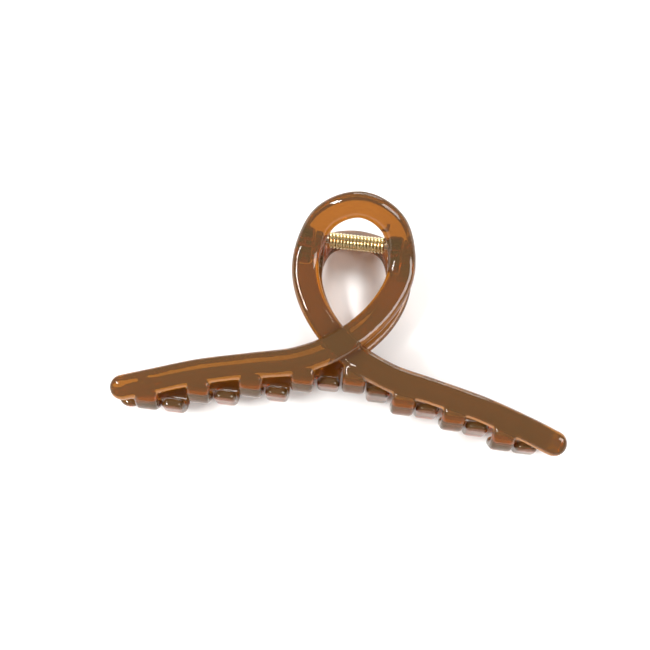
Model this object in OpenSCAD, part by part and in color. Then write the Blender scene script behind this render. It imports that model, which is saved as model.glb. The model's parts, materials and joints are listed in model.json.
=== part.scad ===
// Claw clip: two like jaws, each a ribbon that loops over itself, hinged on a
// pin inside a torsion spring. The clip lies on its back jaw, with X along the
// arms, Y towards the loops and Z up.

/* [Ribbon] */
// Width of the ribbon round the loop
ribbon_w = 7.8; // [7.4:0.1:8.0]
// Width of the ribbon along the arms
arm_w = 7.3; // [7.0:0.1:7.6]
// Thickness of the ribbon
ribbon_t = 3.8; // [3.6:0.1:4.0]
// Angle at which the loop flares out above the hinge
flare_angle = 50; // [46:1:52]

/* [Teeth] */
// Distance between two teeth of one jaw
tooth_pitch = 14.5; // [14.3:0.1:14.7]
// Width of a tooth
tooth_w = 6.6; // [6.2:0.1:6.7]
// Thickness of a tooth
tooth_t = 3.2; // [2.8:0.1:3.4]
// Outer radius of a tooth's inward bend
bend_r = 6.2; // [5.8:0.1:6.6]
// Depth of a tooth below the middle of its arm
tooth_drop = 8.7; // [8.3:0.1:9.0]

/* [Hinge] */
// Diameter of the hinge pin
pin_d = 1.8; // [1.6:0.1:2.0]
// Radial clearance of the pin in the ears
pin_clearance = 0.04; // [0.02:0.01:0.08]
// Thickness of a hinge ear
ear_t = 3.0; // [2.8:0.1:3.1]

/* [Spring] */
// Outside diameter of the coil
spring_d = 4.8; // [4.4:0.1:5.2]
// Diameter of the spring wire
wire_d = 1.0; // [0.8:0.1:1.0]
// Number of turns in the coil
spring_turns = 16; // [14:1:16]

/* [Hidden] */
$fn = 32;

// Attitude of the clip when it lies on its back jaw
lie_angle = 13.8;
hinge_height = 20.55;
hinge_y = 20.6;

// Middle line of the ribbon from the left tip to the top of the loop
LEFT_STRAND = [
    [-61.3, -50.9], [-53, -48.2], [-40, -44], [-26, -40.7], [-13, -37.8],
    [-1, -31.6], [8.6, -21.5], [13.4, -9.5], [10.2, 1.6]
];
LOOP_TOP = [0, 5.9];
// Middle line of the ribbon from the top of the loop to the right tip
RIGHT_STRAND = [
    [-10.4, 1.6], [-14, -9.5], [-10.2, -21.5], [0, -32.6], [13, -39.2],
    [26, -42], [40, -45.2], [53, -49.3], [61.3, -52.3]
];
CONTROL = concat(LEFT_STRAND, [LOOP_TOP], RIGHT_STRAND);
top_index = len(LEFT_STRAND);
spans = len(CONTROL) - 1;
steps = 6;
rings = spans * steps;

// The ribbon bows out below the hinge, leans in over the arms, and flares
// out above the hinge in a soft bend
body_z = 9;
lean_y = -20;
lean_span = 32;
lean_depth = 2.6;
bow_rate = 0.002;
flare_y = -4;
flare_softness = 2.5;

// One strand passes over the other at the crossing
crossing = [-1, -32];
crossing_spread = 11;
over_rise = 1.6;
under_drop = 2.5;
right_arm_drop = 1.0;
web_size = [5, 5, 4];
web_z = body_z - 1;

// Bevels on the ribbon's edges: how far each corner lies in from the side,
// and from the outer or the inner face
edge_flat = 2.2;
edge_in = 0.6;
outer_bevel = 0.55;
outer_side = 1.5;
inner_bevel = 0.2;
inner_side = 0.9;
inner_edge = 1.4;
tip_rings = 5;
tip_turn = 80;

first_tooth = -4;
last_tooth = 3;
tooth_offset = 3.6;
bend_turn = 102;
bend_steps = 6;
tooth_corner = 1.3;
tip_corner = 2.2;
root_in = 2;
root_lift = 1.2;
tip_reach = 3.8;
// The arms lie below arm_top; the teeth next to the crossing hang a little
// deeper, and the one by the left tip is short
arm_top = -33;
extra_drop = 1.2;
extra_drop_span = 12;
short_tooth_x = -50;
short_reach = 2.6;

ear_r = 3.3;
// From the pin out to the ribbon, as [Y, Z]
EAR_ARM = [[3.1, 1], [0.6, 11.4], [-4, 9.3], [-10.4, 8.2], [-3, -1.2], [0, -2]];
inner_ear_x = 9.5;
ear_gap = 0.4;
outer_ear_x = inner_ear_x + ear_t + ear_gap;
end_wall = 0.9;
pin_end_gap = 0.15;
pin_half = outer_ear_x + ear_t - end_wall - pin_end_gap;
bore_r = pin_d / 2 + pin_clearance;

coil_r = (spring_d - wire_d) / 2;
coil_half = 8.7;
turn_pitch = 2 * coil_half / spring_turns;
turn_overlap = 0.03;
leg_l = 13.6;
leg_lean = 7.5;

// Point on a smooth curve through the control points, i spans along
function control(i) =
    i < 0 ? 2 * CONTROL[0] - CONTROL[1]
    : i > spans ? 2 * CONTROL[spans] - CONTROL[spans - 1]
    : CONTROL[i];
function curve_point(i, t) =
    let (a = control(i - 1), b = control(i), c = control(i + 1), d = control(i + 2))
    (2 * b + (c - a) * t + (2 * a - 5 * b + 4 * c - d) * t * t
        + (3 * b - a - 3 * c + d) * t * t * t) / 2;
function middle_xy(ring) =
    let (i = min(floor(ring / steps), spans - 1))
    curve_point(i, ring / steps - i);

// Height of the ribbon above the middle plane of the clip
function soft_ramp(v) = ln(1 + exp(v));
function side_z(y) =
    body_z - lean_depth * pow(max(lean_y - y, 0) / lean_span, 3)
    - bow_rate * pow(max(y - lean_y, 0), 2)
    + tan(flare_angle) * flare_softness * soft_ramp((y - flare_y) / flare_softness);
function side_slope(y) = (side_z(y + 0.05) - side_z(y - 0.05)) / 0.1;

// Smooth step from 0 to 1 as v goes from a to b
function ease(v, a, b) =
    let (t = min(max((v - a) / (b - a), 0), 1)) t * t * (3 - 2 * t);

// How far a strand is lifted over, or sunk under, the other one
function strand_shift(p, right) =
    let (d = norm(p - crossing) / crossing_spread, near = exp(-d * d))
    right ? -under_drop * near - right_arm_drop * ease(p.x, 2, 14) * (1 - near)
    : over_rise * near;

function middle(ring) =
    let (p = middle_xy(ring))
    [p.x, p.y, side_z(p.y) + strand_shift(p, ring > top_index * steps)];
MIDDLE = [for (i = [0:rings]) middle(i)];

function unit(v) = v / norm(v);
function along(i) = unit(MIDDLE[min(i + 1, rings)] - MIDDLE[max(i - 1, 0)]);
function across(i) = unit(cross(unit([0, -side_slope(MIDDLE[i].y), 1]), along(i)));
function outward(i) = cross(along(i), across(i));

// Section of the ribbon: flat faces with bevelled edges, as [across, outward]
function half_section(w, t) = [
    [edge_flat, t / 2], [w / 2 - edge_in, t / 2 - outer_bevel], [w / 2, t / 2 - outer_side],
    [w / 2, inner_side - t / 2], [w / 2 - edge_in, inner_bevel - t / 2],
    [w / 2 - inner_edge, -t / 2]
];
function section(w, t) =
    let (h = half_section(w, t))
    concat(h, [for (i = [5:-1:0]) [-h[i].x, h[i].y]]);
sides = 12;

function width_at(i) =
    ribbon_w + (arm_w - ribbon_w) * ease(abs(MIDDLE[i].x), 16, 28);

// Section points at a ring, moved on along the ribbon and shrunk for a tip
function ring_points(i, forward, shrink) =
    [for (s = section(width_at(i), ribbon_t))
        MIDDLE[i] + along(i) * forward
        + across(i) * s.x * shrink + outward(i) * s.y * (0.4 + 0.6 * shrink)];

// Closed surface through a list of rings
module skin(ring_list) {
    last = len(ring_list) - 1;
    polyhedron(
        points = [for (r = ring_list) each r],
        faces = concat(
            [[for (j = [sides - 1:-1:0]) j]],
            [for (i = [0:last - 1]) for (j = [0:sides - 1])
                let (a = i * sides + j, b = i * sides + (j + 1) % sides)
                each [[a, b, a + sides], [b, b + sides, a + sides]]],
            [[for (j = [0:sides - 1]) last * sides + j]]
        ),
        convexity = 8
    );
}

module ribbon() {
    tip_r = arm_w / 2;
    skin(concat(
        [for (k = [tip_rings:-1:1]) let (a = k * tip_turn / tip_rings)
            ring_points(0, -tip_r * sin(a), cos(a))],
        [for (i = [0:rings]) ring_points(i, 0, 1)],
        [for (k = [1:tip_rings]) let (a = k * tip_turn / tip_rings)
            ring_points(rings, tip_r * sin(a), cos(a))]
    ));
}

// Solid web that welds the two strands where they cross
module crossing_web() {
    translate([crossing.x, crossing.y, web_z]) rotate([0, 0, 45])
        cube(web_size, center = true);
}

// Section of a tooth: a bar with rounded corners, as [across, outward]
function bar_section(w, t) =
    [for (c = [[1, 1, 90], [1, -1, 0], [-1, -1, -90], [-1, 1, 180]], a = [0, -45, -90])
        [c.x * (w / 2 - tooth_corner), c.y * (t / 2 - tooth_corner)]
        + tooth_corner * [cos(c.z + a), sin(c.z + a)]];

// Section points of a tooth where its bend has turned by angle a, moved on by
// forward and narrowed by shrink; the centre of the bend is at c
function tooth_ring(c, a, forward, shrink) =
    let (ahead = [0, -cos(a), -sin(a)], out = [0, -sin(a), cos(a)])
    [for (s = bar_section(tooth_w, tooth_t))
        c + out * (bend_r - tooth_t / 2 + s.y * (0.5 + 0.5 * shrink))
        + ahead * forward + [s.x * shrink, 0, 0]];

// Tooth that leaves the arm along -Y, turns towards -Z round the point c and
// ends in a rounded tip that rises a little
module tooth(c, reach) {
    skin(concat(
        [tooth_ring(c, 0, -root_in, 1)],
        [for (k = [0:bend_steps]) tooth_ring(c, k * bend_turn / bend_steps, 0, 1)],
        [for (b = [0:tip_turn / tip_rings:tip_turn])
            tooth_ring(c, bend_turn, reach - tip_corner * (1 - sin(b)),
                1 - 2 * tip_corner * (1 - cos(b)) / tooth_w)]
    ));
}

// The ribbon's middle line along each arm, as lookup tables by X
LEFT_ARM = [for (m = MIDDLE) if (m.y < arm_top && m.x < 0) [m.x, m.y]];
RIGHT_ARM = [for (m = MIDDLE) if (m.y < arm_top && m.x > 0) [m.x, m.y]];
function arm_y(x) = lookup(x, x < 0 ? LEFT_ARM : RIGHT_ARM);

function drop_at(x) =
    tooth_drop + extra_drop * exp(-pow(x / extra_drop_span, 2))
    - (x < short_tooth_x ? extra_drop : 0);

module teeth() {
    for (k = [first_tooth:last_tooth]) {
        x = tooth_offset + k * tooth_pitch;
        y = arm_y(x);
        z = side_z(y) + strand_shift([x, y], x > 0);
        bend_z = z + root_lift - bend_r;
        reach = x < short_tooth_x ? short_reach : tip_reach;
        tooth([x, y - drop_at(x) + bend_r, bend_z], bend_z + reach);
    }
}

// Outline of a hinge ear in the plane across the pin: [Y, Z]
module ear_outline() {
    circle(ear_r);
    polygon(EAR_ARM);
}

module ear(x) {
    translate([x, 0, 0]) rotate([90, 0, 90]) linear_extrude(ear_t) ear_outline();
}

// Ribbon, web and teeth as one skin: a resize that changes no size
module moulding() {
    resize([0, 0, 0]) union() {
        ribbon();
        crossing_web();
        teeth();
    }
}

module jaw() {
    difference() {
        union() {
            moulding();
            ear(-outer_ear_x - ear_t);
            ear(inner_ear_x);
        }
        translate([-outer_ear_x - ear_t + end_wall, 0, 0]) rotate([0, 90, 0])
            cylinder(r = bore_r, h = inner_ear_x + outer_ear_x + 2 * ear_t);
    }
}

module place() {
    translate([0, hinge_y, hinge_height]) rotate([lie_angle, 0, 0]) children();
}

module front_jaw() {
    color("#a85a1c") place() jaw();
}

module back_jaw() {
    color("#8c4a1a") place() rotate([0, 180, 0]) jaw();
}

module hinge_pin() {
    color("#b9a36a") place() rotate([0, 90, 0])
        cylinder(d = pin_d, h = 2 * pin_half, center = true);
}

// Leg of the spring: it leaves the coil on a tangent and lies against the
// inside of the front loop
module spring_leg() {
    translate([coil_half - wire_d / 2, coil_r, 0]) rotate([-leg_lean, 0, 0])
        cylinder(d = wire_d, h = leg_l);
}

// Close-wound coil, drawn as one ring a turn, with a leg at each end
module torsion_spring() {
    color("#c9a24a") place() {
        for (i = [0:spring_turns - 1])
            translate([(i + 0.5) * turn_pitch - coil_half, 0, 0])
                rotate([0, 90, 0]) rotate_extrude()
                    translate([coil_r, 0]) circle(turn_pitch / 2 + turn_overlap);
        spring_leg();
        rotate([0, 180, 0]) spring_leg();
    }
}

front_jaw();
back_jaw();
hinge_pin();
torsion_spring();
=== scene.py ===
# Claw clip of clear amber plastic: two looped jaws, a coil spring and a hinge pin.
import json
import math

import bmesh
import bpy
from bpy.props import FloatProperty, IntProperty, PointerProperty, StringProperty
from mathutils import Matrix, Vector


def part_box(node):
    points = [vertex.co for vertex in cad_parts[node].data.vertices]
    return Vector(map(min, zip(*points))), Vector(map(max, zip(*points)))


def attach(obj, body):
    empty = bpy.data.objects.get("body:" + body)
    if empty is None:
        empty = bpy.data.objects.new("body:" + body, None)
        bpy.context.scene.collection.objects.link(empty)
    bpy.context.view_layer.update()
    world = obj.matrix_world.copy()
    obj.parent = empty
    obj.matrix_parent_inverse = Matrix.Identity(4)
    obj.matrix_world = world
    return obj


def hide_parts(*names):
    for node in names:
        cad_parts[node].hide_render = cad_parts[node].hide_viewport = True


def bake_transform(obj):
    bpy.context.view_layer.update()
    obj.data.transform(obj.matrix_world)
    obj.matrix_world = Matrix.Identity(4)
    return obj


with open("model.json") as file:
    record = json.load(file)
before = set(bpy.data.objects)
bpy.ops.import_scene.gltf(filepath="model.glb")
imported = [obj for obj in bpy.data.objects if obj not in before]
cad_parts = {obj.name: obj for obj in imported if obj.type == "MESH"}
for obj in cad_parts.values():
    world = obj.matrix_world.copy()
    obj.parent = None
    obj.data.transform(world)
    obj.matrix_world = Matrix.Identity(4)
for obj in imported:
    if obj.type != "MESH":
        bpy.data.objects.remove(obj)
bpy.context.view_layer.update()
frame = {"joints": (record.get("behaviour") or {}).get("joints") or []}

bl_info = {
    "name": "Claw clip",
    "version": (1, 0, 0),
    "blender": (4, 5, 0),
    "location": "3D View > Sidebar > Claw Clip",
    "description": "Builds a looped claw clip of clear amber plastic round its packed frame",
    "category": "Object",
}

MM = 0.001
HINGE = Vector(frame["joints"][0]["pos_m"])
LIE_ANGLE = math.radians(13.8)
# From the clip's own upright frame, hinge at the origin, to the frame it lies in
PLACE = Matrix.Translation(HINGE) @ Matrix.Rotation(LIE_ANGLE, 4, "X") @ Matrix.Scale(MM, 4)
# The back jaw is the same moulding turned half a turn about the upright axis
HALF_TURN = Matrix.Rotation(math.pi, 4, "Y")

# Middle line of the ribbon: left tip, crossing, round the loop, crossing, right tip
LEFT_STRAND = [
    (-61.3, -50.9), (-53, -48.2), (-40, -44), (-26, -40.7), (-13, -37.8),
    (-1, -31.6), (8.6, -21.5), (13.4, -9.5), (10.2, 1.6),
]
LOOP_TOP = (0, 5.9)
RIGHT_STRAND = [
    (-10.4, 1.6), (-14, -9.5), (-10.2, -21.5), (0, -32.6), (13, -39.2),
    (26, -42), (40, -45.2), (53, -49.3), (61.3, -52.3),
]
CONTROL = [Vector(p) for p in LEFT_STRAND + [LOOP_TOP] + RIGHT_STRAND]
SPANS = len(CONTROL) - 1

# Rings in each span of the middle line, and rings that round off a tip
STEPS = 14
TIP_RINGS = 9
TIP_TURN = math.radians(82)

# The ribbon bows out below the hinge, leans in over the arms, and flares out above the hinge
BODY_Z = 9
BOW_RATE = 0.002
LEAN_Y, LEAN_SPAN, LEAN_DEPTH = -20, 32, 2.6
FLARE_Y, FLARE_SOFTNESS = -4, 2.5

# One strand passes over the other at the crossing, with a web that welds them
CROSSING = Vector((-1, -32))
CROSSING_SPREAD = 11
OVER_RISE, UNDER_DROP, RIGHT_ARM_DROP = 1.6, 2.5, 1.0
# Where, along X, the right arm sinks and the ribbon narrows from loop to arm
DROP_SPAN = (2, 14)
NARROWING_SPAN = (16, 28)
WEB_SIZE = (5, 5, 4)
WEB_Z = BODY_Z - 1

# Bevels on the ribbon's edges, in from its side or from its outer or inner face
EDGE_FLAT, EDGE_IN, INNER_EDGE = 2.2, 0.6, 1.4
OUTER_BEVEL, OUTER_SIDE = 0.55, 1.5
INNER_BEVEL, INNER_SIDE = 0.2, 0.9
RIBBON_ROUNDING, TOOTH_ROUNDING = 0.45, 1.3

# Teeth stand along the arms, below ARM_TOP; the one by the left tip is short
ARM_TOP = -32.5
FIRST_TOOTH, LAST_TOOTH = -4, 3
TOOTH_OFFSET = 3.6
ROOT_IN, ROOT_LIFT = 2, 1.2
EXTRA_DROP, EXTRA_DROP_SPAN = 1.2, 12
SHORT_TOOTH_X, SHORT_REACH = -50, 2.6
BEND_TURN, BEND_STEPS = math.radians(102), 14
TIP_CORNER = 2.2

# Hinge ears: a round nose about the pin, and an arm out to the ribbon as (Y, Z)
EAR_R = 3.3
EAR_ARM = [(3.1, 1), (0.6, 11.4), (-4, 9.3), (-10.4, 8.2)]
NOSE_DEGREES = range(250, 71, -15)
BORE_POINTS = 24
END_WALL, WALL_OVERLAP = 0.9, 0.05
PIN_CLEARANCE, PIN_CHAMFER, PIN_SIDES = 0.04, 0.2, 40

COIL_POINTS, LEG_POINTS, WIRE_SIDES = 28, 8, 12


# ---------------------------------------------------------------- sizes and colours

class ClipSizes(bpy.types.PropertyGroup):
    """Sizes of the clip, in millimetres unless said otherwise"""
    ribbon_w: FloatProperty(name="Loop width", description="Width of the ribbon round the loop", default=7.8)
    arm_w: FloatProperty(name="Arm width", description="Width of the ribbon along the arms", default=7.3)
    ribbon_t: FloatProperty(name="Ribbon thickness", description="Thickness of the ribbon", default=3.8)
    flare: FloatProperty(name="Flare", description="Angle of the loop above the hinge",
                         default=math.radians(50), subtype="ANGLE")
    tooth_pitch: FloatProperty(name="Tooth pitch", description="From one tooth to the next", default=14.5)
    tooth_w: FloatProperty(name="Tooth width", description="Width of a tooth", default=6.6)
    tooth_t: FloatProperty(name="Tooth thickness", description="Thickness of a tooth", default=3.2)
    tooth_drop: FloatProperty(name="Tooth drop", description="Depth of a tooth below its arm's middle",
                              default=8.7)
    bend_r: FloatProperty(name="Tooth bend", description="Outer radius of a tooth's bend", default=6.2)
    tip_reach: FloatProperty(name="Tip reach", description="How far a tooth passes the middle plane",
                             default=3.8)
    ear_x: FloatProperty(name="Inner ear", description="From the middle to the inner ears", default=9.5)
    ear_t: FloatProperty(name="Ear thickness", description="Thickness of a hinge ear", default=3.0)
    ear_gap: FloatProperty(name="Ear gap", description="Gap between two ears side by side", default=0.4)
    pin_r: FloatProperty(name="Pin radius", description="Radius of the hinge pin", default=0.9)
    wire_r: FloatProperty(name="Wire radius", description="Radius of the spring wire", default=0.47)
    coil_r: FloatProperty(name="Coil radius", description="Radius of the coil to the wire's middle",
                          default=1.92)
    coil_half: FloatProperty(name="Half coil", description="Half the coil's length", default=8.2)
    coil_turns: IntProperty(name="Turns", description="Turns in the coil", default=16)
    leg_l: FloatProperty(name="Leg", description="Length of a spring leg", default=13.85)
    leg_lean: FloatProperty(name="Leg lean", description="Lean of a spring leg",
                            default=math.radians(7.5), subtype="ANGLE")
    skin: FloatProperty(name="Skin grain", description="Grid size at which the moulding is fused",
                        default=0.32)


class ClipColours(bpy.types.PropertyGroup):
    """Colours of the clip and its stage, as sRGB hex"""
    amber_clear: StringProperty(name="Amber", description="Tint of the light that the plastic lets through",
                                default="#F2DF00")
    amber_haze: StringProperty(name="Haze", description="Colour of the light that the plastic scatters",
                               default="#B98A4A")
    spring_gold: StringProperty(name="Spring", description="Gold plating on the spring wire",
                                default="#E6D3A0")
    pin_steel: StringProperty(name="Pin", description="Plated steel of the hinge pin", default="#C9BFA4")
    floor: StringProperty(name="Floor", description="Pale floor", default="#F7F6F4")


def linear(hex_colour):
    """sRGB hex to the linear RGBA that Blender's shaders take."""
    channels = [int(hex_colour[i:i + 2], 16) / 255 for i in (1, 3, 5)]
    return [c / 12.92 if c <= 0.04045 else ((c + 0.055) / 1.055) ** 2.4 for c in channels] + [1.0]


# ---------------------------------------------------------------- the ribbon's rule

def control(i):
    """Control point i, with one point beyond each end."""
    if i < 0:
        return 2 * CONTROL[0] - CONTROL[1]
    if i > SPANS:
        return 2 * CONTROL[SPANS] - CONTROL[SPANS - 1]
    return CONTROL[i]


def middle_xy(along):
    """Point on the smooth middle line, along counted in spans."""
    i = min(int(along), SPANS - 1)
    t = along - i
    a, b, c, d = (control(i + k) for k in (-1, 0, 1, 2))
    return (2 * b + (c - a) * t + (2 * a - 5 * b + 4 * c - d) * t * t
            + (3 * b - a - 3 * c + d) * t ** 3) / 2


def side_z(sizes, y):
    """Distance of the ribbon's middle from the plane between the jaws."""
    lean = LEAN_DEPTH * (max(LEAN_Y - y, 0) / LEAN_SPAN) ** 3
    bow = BOW_RATE * max(y - LEAN_Y, 0) ** 2
    ramp = FLARE_SOFTNESS * math.log(1 + math.exp((y - FLARE_Y) / FLARE_SOFTNESS))
    return BODY_Z - lean - bow + math.tan(sizes.flare) * ramp


def ease(v, a, b):
    """Smooth step from 0 to 1 as v goes from a to b."""
    t = min(max((v - a) / (b - a), 0), 1)
    return t * t * (3 - 2 * t)


def strand_shift(p, right):
    """One strand rises over the crossing, the other sinks under it."""
    near = math.exp(-((Vector(p) - CROSSING).length / CROSSING_SPREAD) ** 2)
    if right:
        return -UNDER_DROP * near - RIGHT_ARM_DROP * ease(p[0], *DROP_SPAN) * (1 - near)
    return OVER_RISE * near


def ribbon_path(sizes):
    """Rings of the ribbon: (middle, outward, scale)."""
    count = SPANS * STEPS
    middles = []
    for k in range(count + 1):
        p = middle_xy(k / STEPS)
        z = side_z(sizes, p.y) + strand_shift(p, k > len(LEFT_STRAND) * STEPS)
        middles.append(Vector((p.x, p.y, z)))
    rings = []
    for k, m in enumerate(middles):
        ahead = (middles[min(k + 1, count)] - middles[max(k - 1, 0)]).normalized()
        slope = (side_z(sizes, m.y + 0.05) - side_z(sizes, m.y - 0.05)) / 0.1
        across = Vector((0, -slope, 1)).normalized().cross(ahead).normalized()
        narrow = sizes.arm_w / sizes.ribbon_w
        scale = 1 + (narrow - 1) * ease(abs(m.x), *NARROWING_SPAN)
        rings.append((m, ahead.cross(across), scale, ahead))
    tip = sizes.arm_w / 2
    turns = [k * TIP_TURN / TIP_RINGS for k in range(1, TIP_RINGS + 1)]
    m, out, scale, ahead = rings[0]
    start = [(m - ahead * tip * math.sin(a), out, scale * math.cos(a)) for a in reversed(turns)]
    m, out, scale, ahead = rings[-1]
    end = [(m + ahead * tip * math.sin(a), out, scale * math.cos(a)) for a in turns]
    return start + [r[:3] for r in rings] + end


def arm_y(x):
    """Height of the arm's middle line at x."""
    count = SPANS * STEPS
    steps = [middle_xy(k / STEPS) for k in range(count + 1)]
    half = [p for p in steps if p.y < ARM_TOP and (p.x < 0) == (x < 0)]
    half.sort(key=lambda p: p.x)
    for a, b in zip(half, half[1:]):
        if a.x <= x <= b.x:
            return a.y + (b.y - a.y) * (x - a.x) / (b.x - a.x)
    return min(half, key=lambda p: abs(p.x - x)).y


def tooth_path(sizes, x):
    """Rings of the tooth at x: out of the arm, round the bend, up to a rounded tip."""
    short = x < SHORT_TOOTH_X
    y = arm_y(x)
    drop = sizes.tooth_drop + EXTRA_DROP * math.exp(-(x / EXTRA_DROP_SPAN) ** 2)
    drop -= EXTRA_DROP if short else 0
    bend_z = side_z(sizes, y) + strand_shift((x, y), x > 0) + ROOT_LIFT - sizes.bend_r
    centre = Vector((x, y - drop + sizes.bend_r, bend_z))
    radius = sizes.bend_r - sizes.tooth_t / 2
    reach = bend_z + (SHORT_REACH if short else sizes.tip_reach)

    def ring(angle, forward, scale):
        out = Vector((0, -math.sin(angle), math.cos(angle)))
        ahead = Vector((0, -math.cos(angle), -math.sin(angle)))
        return (centre + out * radius + ahead * forward, out, scale)

    rings = [ring(0, -ROOT_IN, 1)] + [ring(BEND_TURN * k / BEND_STEPS, 0, 1) for k in range(BEND_STEPS + 1)]
    for k in range(TIP_RINGS + 1):
        turn = TIP_TURN * k / TIP_RINGS
        rings.append(ring(BEND_TURN, reach - TIP_CORNER * (1 - math.sin(turn)),
                          1 - 2 * TIP_CORNER * (1 - math.cos(turn)) / sizes.tooth_w))
    return rings


def wire_path(sizes):
    """The spring wire: leg, close turns, leg, each leg leaving on a tangent."""
    count = sizes.coil_turns * COIL_POINTS
    first, last = sizes.leg_lean, math.tau * sizes.coil_turns - sizes.leg_lean
    coil = []
    for k in range(count + 1):
        a = first + (last - first) * k / count
        x = -sizes.coil_half + 2 * sizes.coil_half * k / count
        coil.append(Vector((x, sizes.coil_r * math.cos(a), sizes.coil_r * math.sin(a))))
    back = Vector((0, math.sin(sizes.leg_lean), -math.cos(sizes.leg_lean)))
    front = Vector((0, math.sin(sizes.leg_lean), math.cos(sizes.leg_lean)))
    step = sizes.leg_l / LEG_POINTS
    points = [coil[0] + back * step * k for k in range(LEG_POINTS, 0, -1)]
    points += coil
    points += [coil[-1] + front * step * k for k in range(1, LEG_POINTS + 1)]
    return [(p, Vector((0, p.y, p.z)).normalized(), 1.0) for p in points]


# ---------------------------------------------------------------- mesh helpers

def node(tree, kind, inputs=None, **settings):
    """Adds a node with its settings and inputs, and returns it."""
    made = tree.nodes.new(kind)
    for key, value in settings.items():
        setattr(made, key, value)
    for socket, value in (inputs or {}).items():
        if isinstance(value, bpy.types.NodeSocket):
            tree.links.new(value, made.inputs[socket])
        else:
            made.inputs[socket].default_value = value
    return made


def polyline(name, rings):
    """A line of points that carries its outward direction and its scale."""
    mesh = bpy.data.meshes.new(name)
    mesh.from_pydata([r[0] for r in rings], [(k, k + 1) for k in range(len(rings) - 1)], [])
    mesh.attributes.new("outward", "FLOAT_VECTOR", "POINT")
    mesh.attributes.new("section_scale", "FLOAT", "POINT")
    outward, scale = mesh.attributes["outward"], mesh.attributes["section_scale"]
    for k, ring in enumerate(rings):
        outward.data[k].vector = ring[1]
        scale.data[k].value = ring[2]
    made = bpy.data.objects.new(name, mesh)
    bpy.context.scene.collection.objects.link(made)
    return made


def outline(name, points):
    """A closed line for a section."""
    count = len(points)
    mesh = bpy.data.meshes.new(name)
    mesh.from_pydata([(x, y, 0) for x, y in points], [(k, (k + 1) % count) for k in range(count)], [])
    made = bpy.data.objects.new(name, mesh)
    bpy.context.scene.collection.objects.link(made)
    return made


def sweep_tree(material):
    """Geometry Nodes that carry a section along a line of points."""
    tree = bpy.data.node_groups.new("Section sweep", "GeometryNodeTree")
    face = tree.interface
    face.new_socket("Geometry", in_out="INPUT", socket_type="NodeSocketGeometry")
    face.new_socket("Section", in_out="INPUT", socket_type="NodeSocketObject")
    face.new_socket("Edge radius", in_out="INPUT", socket_type="NodeSocketFloat")
    face.new_socket("Geometry", in_out="OUTPUT", socket_type="NodeSocketGeometry")
    source = node(tree, "NodeGroupInput")
    outward = node(tree, "GeometryNodeInputNamedAttribute", {"Name": "outward"}, data_type="FLOAT_VECTOR")
    scale = node(tree, "GeometryNodeInputNamedAttribute", {"Name": "section_scale"}, data_type="FLOAT")
    line = node(tree, "GeometryNodeMeshToCurve", {"Mesh": source.outputs["Geometry"]})
    turned = node(tree, "GeometryNodeSetCurveNormal", {"Curve": line.outputs[0]}, mode="FREE")
    tree.links.new(outward.outputs["Attribute"], turned.inputs["Normal"])
    sized = node(tree, "GeometryNodeSetCurveRadius",
                 {"Curve": turned.outputs[0], "Radius": scale.outputs["Attribute"]})
    section = node(tree, "GeometryNodeObjectInfo", {"Object": source.outputs["Section"]})
    ring = node(tree, "GeometryNodeMeshToCurve", {"Mesh": section.outputs["Geometry"]})
    soft = node(tree, "GeometryNodeFilletCurve",
                {"Curve": ring.outputs[0], "Radius": source.outputs["Edge radius"], "Count": 3,
                 "Limit Radius": True}, mode="POLY")
    skin = node(tree, "GeometryNodeCurveToMesh",
                {"Curve": sized.outputs[0], "Profile Curve": soft.outputs[0], "Fill Caps": True})
    scale_in = skin.inputs.get("Scale")
    if scale_in is not None:
        tree.links.new(scale.outputs["Attribute"], scale_in)
    real = node(tree, "GeometryNodeRealizeInstances", {"Geometry": skin.outputs[0]})
    dressed = node(tree, "GeometryNodeSetMaterial", {"Geometry": real.outputs[0], "Material": material})
    node(tree, "NodeGroupOutput", {"Geometry": dressed.outputs[0]})
    return tree


def swept(tree, name, rings, section, edge_radius):
    """The plain mesh that the sweep gives, in the clip's own upright frame."""
    line = polyline(name, rings)
    modifier = line.modifiers.new("Sweep", "NODES")
    modifier.node_group = tree
    ids = {s.name: s.identifier for s in tree.interface.items_tree if s.in_out == "INPUT"}
    modifier[ids["Section"]] = section
    modifier[ids["Edge radius"]] = edge_radius
    graph = bpy.context.evaluated_depsgraph_get()
    mesh = bpy.data.meshes.new_from_object(line.evaluated_get(graph), depsgraph=graph)
    line.modifiers.remove(modifier)
    bpy.data.objects.remove(line)
    return mesh


def joined(meshes):
    """One bmesh from several meshes, with doubles merged and faces outward."""
    bm = bmesh.new()
    for mesh in meshes:
        bm.from_mesh(mesh)
        bpy.data.meshes.remove(mesh)
    bmesh.ops.remove_doubles(bm, verts=bm.verts, dist=1e-4)
    bmesh.ops.recalc_face_normals(bm, faces=bm.faces)
    return bm


def ribbon_section(sizes):
    """Flat faces with bevelled edges, as (outward, across)."""
    w, t = sizes.ribbon_w / 2, sizes.ribbon_t / 2
    half = [
        (t, EDGE_FLAT), (t - OUTER_BEVEL, w - EDGE_IN), (t - OUTER_SIDE, w),
        (INNER_SIDE - t, w), (INNER_BEVEL - t, w - EDGE_IN), (-t, w - INNER_EDGE),
    ]
    return half + [(x, -y) for x, y in reversed(half)]


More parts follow.
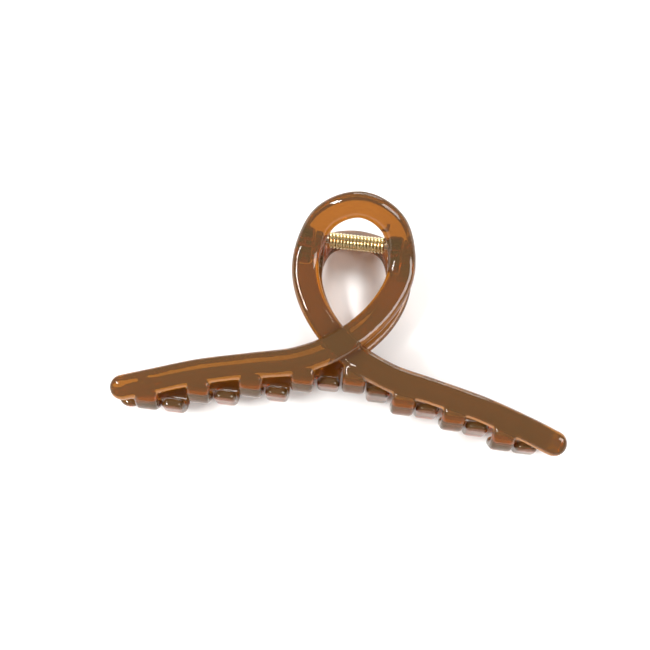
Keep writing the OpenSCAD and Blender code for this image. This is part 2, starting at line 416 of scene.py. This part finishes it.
def ear_mesh(x0, x1, bore):
    """Hinge ear between x0 and x1, with a round bore for the pin if bore is set."""
    nose = [(EAR_R * math.sin(a), EAR_R * math.cos(a)) for a in map(math.radians, NOSE_DEGREES)]
    bm = bmesh.new()
    loop = [bm.verts.new((x0, y, z)) for y, z in EAR_ARM + nose]
    edges = [bm.edges.new((loop[k], loop[(k + 1) % len(loop)])) for k in range(len(loop))]
    if bore:
        hole = [bm.verts.new((x0, bore * math.cos(a), bore * math.sin(a)))
                for a in (math.tau * k / BORE_POINTS for k in range(BORE_POINTS))]
        edges += [bm.edges.new((hole[k], hole[(k + 1) % BORE_POINTS])) for k in range(BORE_POINTS)]
    bmesh.ops.triangle_fill(bm, use_beauty=True, edges=edges)
    made = bmesh.ops.extrude_face_region(bm, geom=bm.faces[:])
    moved = [v for v in made["geom"] if isinstance(v, bmesh.types.BMVert)]
    bmesh.ops.translate(bm, verts=moved, vec=(x1 - x0, 0, 0))
    bmesh.ops.recalc_face_normals(bm, faces=bm.faces)
    mesh = bpy.data.meshes.new("ear")
    bm.to_mesh(mesh)
    bm.free()
    return mesh


def web_mesh():
    """Block that welds the two strands where they cross."""
    bm = bmesh.new()
    turn = Matrix.Translation((CROSSING.x, CROSSING.y, WEB_Z)) @ Matrix.Rotation(math.radians(45), 4, "Z")
    bmesh.ops.create_cube(bm, size=1, matrix=turn @ Matrix.Diagonal(WEB_SIZE + (1,)))
    mesh = bpy.data.meshes.new("web")
    bm.to_mesh(mesh)
    bm.free()
    return mesh


def finish_piece(name, mesh, material, smooth=True):
    """A named object at the origin with one material."""
    mesh.name = name
    mesh.materials.clear()
    mesh.materials.append(material)
    mesh.polygons.foreach_set("use_smooth", [smooth] * len(mesh.polygons))
    made = bpy.data.objects.new(name, mesh)
    bpy.context.scene.collection.objects.link(made)
    return made


# ---------------------------------------------------------------- materials

def new_material(name):
    """An empty node material with its output."""
    material = bpy.data.materials.new(name)
    material.use_nodes = True
    material.node_tree.nodes.clear()
    return material, material.node_tree, node(material.node_tree, "ShaderNodeOutputMaterial")


def noise_bump(tree, scale_mm, strength, height_mm, detail=3.0):
    """A fine uneven surface, its grain given in millimetres."""
    place = node(tree, "ShaderNodeTexCoord")
    noise = node(tree, "ShaderNodeTexNoise",
                 {"Vector": place.outputs["Object"], "Scale": 1 / (scale_mm * MM), "Detail": detail})
    return noise, node(tree, "ShaderNodeBump",
                       {"Height": noise.outputs["Fac"], "Strength": strength, "Distance": height_mm * MM})


def moulded_amber(colours):
    """Clear styrene, injection moulded in a polished tool: glassy, honey where it
    is thin and brown where it is thick, with faint flow waves in the gloss."""
    material, tree, out = new_material("moulded_amber_styrene")
    noise, bump = noise_bump(tree, 9, 0.10, 0.25, 1.0)
    rough = node(tree, "ShaderNodeMapRange", {"Value": noise.outputs["Fac"], "To Min": 0.03, "To Max": 0.09})
    plastic = node(tree, "ShaderNodeBsdfPrincipled", {
        "Base Color": linear(colours.amber_haze), "IOR": 1.5, "Transmission Weight": 0.86,
        "Roughness": rough.outputs["Result"], "Normal": bump.outputs["Normal"],
    })
    tint = node(tree, "ShaderNodeVolumeAbsorption",
                {"Color": linear(colours.amber_clear), "Density": 1.1 / MM})
    tree.links.new(plastic.outputs["BSDF"], out.inputs["Surface"])
    tree.links.new(tint.outputs["Volume"], out.inputs["Volume"])
    return material


def plated_wire(colours):
    """Spring steel wire, drawn and gold plated: bright, with fine drawing lines."""
    material, tree, out = new_material("gold_plated_spring_wire")
    noise, bump = noise_bump(tree, 0.35, 0.15, 0.02)
    rough = node(tree, "ShaderNodeMapRange", {"Value": noise.outputs["Fac"], "To Min": 0.16, "To Max": 0.3})
    metal = node(tree, "ShaderNodeBsdfPrincipled", {
        "Base Color": linear(colours.spring_gold), "Metallic": 1.0,
        "Roughness": rough.outputs["Result"], "Normal": bump.outputs["Normal"],
    })
    tree.links.new(metal.outputs["BSDF"], out.inputs["Surface"])
    return material


def drawn_steel(colours):
    """Steel pin, drawn and thinly plated: satin, with a fine grain."""
    material, tree, out = new_material("drawn_steel_pin")
    noise, bump = noise_bump(tree, 0.2, 0.12, 0.01)
    rough = node(tree, "ShaderNodeMapRange", {"Value": noise.outputs["Fac"], "To Min": 0.22, "To Max": 0.36})
    metal = node(tree, "ShaderNodeBsdfPrincipled", {
        "Base Color": linear(colours.pin_steel), "Metallic": 1.0,
        "Roughness": rough.outputs["Result"], "Normal": bump.outputs["Normal"],
    })
    tree.links.new(metal.outputs["BSDF"], out.inputs["Surface"])
    return material


def matt_floor(colours):
    """Pale matt paper under the clip, with a barely seen fibre."""
    material, tree, out = new_material("matt_paper_floor")
    _, bump = noise_bump(tree, 2, 0.05, 0.05)
    paper = node(tree, "ShaderNodeBsdfPrincipled", {
        "Base Color": linear(colours.floor), "Roughness": 0.9, "Specular IOR Level": 0.1,
        "Normal": bump.outputs["Normal"],
    })
    tree.links.new(paper.outputs["BSDF"], out.inputs["Surface"])
    return material


# ---------------------------------------------------------------- operators

class CLAWCLIP_OT_jaws(bpy.types.Operator):
    """Make the two jaws, the same moulding turned half a turn"""
    bl_idname = "clawclip.jaws"
    bl_label = "Make jaws"

    def execute(self, context):
        sizes, colours = context.scene.clip_sizes, context.scene.clip_colours
        amber = moulded_amber(colours)
        tree = sweep_tree(amber)
        ribbon = outline("ribbon_section", ribbon_section(sizes))
        w, t = sizes.tooth_w / 2, sizes.tooth_t / 2
        bar = outline("tooth_section", [(t, w), (-t, w), (-t, -w), (t, -w)])
        shells = [swept(tree, "ribbon", ribbon_path(sizes), ribbon, RIBBON_ROUNDING)]
        for k in range(FIRST_TOOTH, LAST_TOOTH + 1):
            x = TOOTH_OFFSET + k * sizes.tooth_pitch
            shells.append(swept(tree, "tooth", tooth_path(sizes, x), bar, TOOTH_ROUNDING))
        outer = sizes.ear_x + sizes.ear_t + sizes.ear_gap
        far_end = -outer - sizes.ear_t
        bore = sizes.pin_r + PIN_CLEARANCE
        shells.append(ear_mesh(far_end, far_end + END_WALL, None))
        shells.append(ear_mesh(far_end + END_WALL - WALL_OVERLAP, -outer, bore))
        shells.append(ear_mesh(sizes.ear_x, sizes.ear_x + sizes.ear_t, bore))
        shells.append(web_mesh())
        moulding = joined(shells)
        raw = bpy.data.meshes.new("moulding")
        moulding.to_mesh(raw)
        moulding.free()
        fused = self.fuse(raw, sizes.skin)
        for name, body, turn in (
            ("front_jaw_moulding", "front_half", Matrix.Identity(4)),
            ("back_jaw_moulding", "back_half", HALF_TURN),
        ):
            mesh = fused.copy()
            mesh.transform(PLACE @ turn)
            jaw = finish_piece(name, mesh, amber)
            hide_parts(name.replace("_moulding", ""))
            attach(jaw, body)
        bpy.data.meshes.remove(fused)
        for helper in (ribbon, bar):
            bpy.data.objects.remove(helper)
        return {"FINISHED"}

    def fuse(self, mesh, grain):
        """Fuses the shells into one skin and softens its creases."""
        body = bpy.data.objects.new("moulding", mesh)
        bpy.context.scene.collection.objects.link(body)
        remesh = body.modifiers.new("Fuse", "REMESH")
        remesh.mode = "VOXEL"
        remesh.voxel_size = grain * 1
        soften = body.modifiers.new("Soften", "SMOOTH")
        soften.factor = 0.5
        soften.iterations = 8
        graph = bpy.context.evaluated_depsgraph_get()
        fused = bpy.data.meshes.new_from_object(body.evaluated_get(graph), depsgraph=graph)
        bpy.data.objects.remove(body)
        return fused


class CLAWCLIP_OT_spring(bpy.types.Operator):
    """Make the torsion spring, coil and legs from one wire"""
    bl_idname = "clawclip.spring"
    bl_label = "Make spring"

    def execute(self, context):
        sizes, colours = context.scene.clip_sizes, context.scene.clip_colours
        metal = plated_wire(colours)
        tree = sweep_tree(metal)
        round_wire = outline("wire_section", [
            (sizes.wire_r * math.cos(a), sizes.wire_r * math.sin(a))
            for a in (math.tau * k / WIRE_SIDES for k in range(WIRE_SIDES))])
        bm = joined([swept(tree, "wire", wire_path(sizes), round_wire, 0.0)])
        mesh = bpy.data.meshes.new("wire")
        bm.to_mesh(mesh)
        bm.free()
        mesh.transform(PLACE)
        spring = finish_piece("torsion_spring_wire", mesh, metal)
        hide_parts("torsion_spring")
        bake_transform(spring)
        bpy.data.objects.remove(round_wire)
        return {"FINISHED"}


class CLAWCLIP_OT_pin(bpy.types.Operator):
    """Make the hinge pin, with chamfered ends"""
    bl_idname = "clawclip.pin"
    bl_label = "Make pin"

    def execute(self, context):
        sizes, colours = context.scene.clip_sizes, context.scene.clip_colours
        low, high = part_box("hinge_pin")
        chamfer = PIN_CHAMFER * MM
        radius = sizes.pin_r * MM
        stations = [(low.x, radius - chamfer), (low.x + chamfer, radius),
                    (high.x - chamfer, radius), (high.x, radius - chamfer)]
        bm = bmesh.new()
        rows = []
        for x, r in stations:
            rows.append([bm.verts.new((x, HINGE.y + r * math.cos(a), HINGE.z + r * math.sin(a)))
                         for a in (math.tau * k / PIN_SIDES for k in range(PIN_SIDES))])
        for a, b in zip(rows, rows[1:]):
            for k in range(PIN_SIDES):
                bm.faces.new((a[k], b[k], b[(k + 1) % PIN_SIDES], a[(k + 1) % PIN_SIDES]))
        bm.faces.new(rows[0])
        bm.faces.new(rows[-1])
        bmesh.ops.recalc_face_normals(bm, faces=bm.faces)
        mesh = bpy.data.meshes.new("pin")
        bm.to_mesh(mesh)
        bm.free()
        pin = finish_piece("hinge_pin_steel", mesh, drawn_steel(colours), smooth=False)
        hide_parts("hinge_pin")
        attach(pin, "back_half")
        return {"FINISHED"}


class CLAWCLIP_OT_stage(bpy.types.Operator):
    """Lay the pale floor, light the clip and set the camera"""
    bl_idname = "clawclip.stage"
    bl_label = "Dress stage"

    def execute(self, context):
        colours = context.scene.clip_colours
        scene = context.scene
        floor_mesh = bpy.data.meshes.new("floor")
        half = 3.0
        floor_mesh.from_pydata([(-half, -half, 0), (half, -half, 0), (half, half, 0), (-half, half, 0)],
                               [], [(0, 1, 2, 3)])
        floor = finish_piece("paper_floor", floor_mesh, matt_floor(colours), smooth=False)
        world = bpy.data.worlds.new("studio_air")
        world.use_nodes = True
        world.node_tree.nodes.clear()
        air = node(world.node_tree, "ShaderNodeBackground", {"Color": (1, 1, 1, 1), "Strength": 0.42})
        node(world.node_tree, "ShaderNodeOutputWorld", {"Surface": air.outputs["Background"]})
        scene.world = world
        centre = Vector((0, 0, 0.015))
        for name, place, size, power in (
            ("key_softbox", Vector((-0.58, -0.30, 0.72)), (0.5, 0.14), 10.0),
            ("fill_softbox", Vector((0.6, -0.2, 0.6)), (0.5, 0.4), 5.0),
            ("rim_softbox", Vector((0.1, 0.7, 0.45)), (0.7, 0.25), 4.5),
        ):
            lamp = bpy.data.lights.new(name, "AREA")
            lamp.shape = "RECTANGLE"
            lamp.size, lamp.size_y = size
            lamp.energy = power
            made = bpy.data.objects.new(name, lamp)
            made.location = place
            made.rotation_euler = (centre - place).to_track_quat("-Z", "Y").to_euler()
            scene.collection.objects.link(made)
        self.camera(scene)
        scene.view_settings.view_transform = "Standard"
        return {"FINISHED"}

    def camera(self, scene):
        """Camera over the teeth side, turned a little so the clip runs down to the right."""
        tilt = math.radians(14) + LIE_ANGLE
        roll = math.radians(6.4)
        distance = 250 * MM
        view_width = 194.6 * MM
        aim_left, aim_down = 9.58 * MM, 24.55 * MM
        away = Vector((0, -math.sin(tilt), math.cos(tilt)))
        up = Vector((0, math.cos(tilt), math.sin(tilt)))
        side = Vector((1, 0, 0))
        right = side * math.cos(roll) + up * math.sin(roll)
        top = up * math.cos(roll) - side * math.sin(roll)
        aim = HINGE - right * aim_left - top * aim_down
        place = HINGE + away * distance
        back = (place - aim).normalized()
        right = top.cross(back).normalized()
        top = back.cross(right)
        lens = bpy.data.cameras.new("camera")
        lens.lens = lens.sensor_width * distance / view_width
        made = bpy.data.objects.new("camera", lens)
        made.matrix_world = Matrix.Translation(place) @ Matrix((right, top, back)).transposed().to_4x4()
        scene.collection.objects.link(made)
        scene.camera = made


class CLAWCLIP_PT_panel(bpy.types.Panel):
    """Sizes, colours and steps of the claw clip"""
    bl_idname = "CLAWCLIP_PT_panel"
    bl_label = "Claw Clip"
    bl_space_type = "VIEW_3D"
    bl_region_type = "UI"
    bl_category = "Claw Clip"

    def draw(self, context):
        layout = self.layout
        for group in (context.scene.clip_sizes, context.scene.clip_colours):
            for name in group.__annotations__:
                layout.prop(group, name)
        for operator in OPERATORS:
            layout.operator(operator.bl_idname)


OPERATORS = (CLAWCLIP_OT_jaws, CLAWCLIP_OT_spring, CLAWCLIP_OT_pin, CLAWCLIP_OT_stage)
CLASSES = (ClipSizes, ClipColours) + OPERATORS + (CLAWCLIP_PT_panel,)


def register():
    for cls in CLASSES:
        bpy.utils.register_class(cls)
    bpy.types.Scene.clip_sizes = PointerProperty(type=ClipSizes)
    bpy.types.Scene.clip_colours = PointerProperty(type=ClipColours)


def unregister():
    del bpy.types.Scene.clip_colours
    del bpy.types.Scene.clip_sizes
    for cls in reversed(CLASSES):
        bpy.utils.unregister_class(cls)


def main():
    register()
    bpy.ops.clawclip.stage()
    bpy.ops.clawclip.jaws()
    bpy.ops.clawclip.spring()
    bpy.ops.clawclip.pin()


if __name__ == "__main__":
    main()
